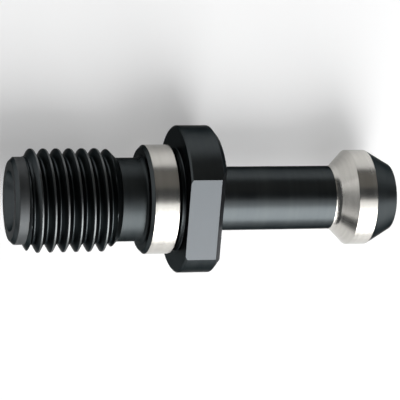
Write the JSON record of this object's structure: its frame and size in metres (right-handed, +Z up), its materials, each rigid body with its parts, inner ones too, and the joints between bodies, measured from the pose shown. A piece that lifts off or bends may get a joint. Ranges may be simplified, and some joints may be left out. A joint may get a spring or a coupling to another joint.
{
  "type": "pull stud",
  "caption": "Pull stud for a 40-size taper toolholder: threaded shank, ground pilot, flange with two wrench flats, slim neck and a conical gripping head.",
  "frame": {"origin": "on the lower wrench flat's plane, under the middle of the stud's length and under its axis", "axes": "+X along the axis from the thread to the head, +Z up, square to the two wrench flats"},
  "size_m": [0.061, 0.023, 0.019],
  "materials": {
    "black_oxide": "black oxide over turned steel, satin, with the pilot, head land and gripping cone ground bright"
  },
  "bodies": {
    "root": {"pull_stud": "black_oxide"}
  },
  "joints": []
}
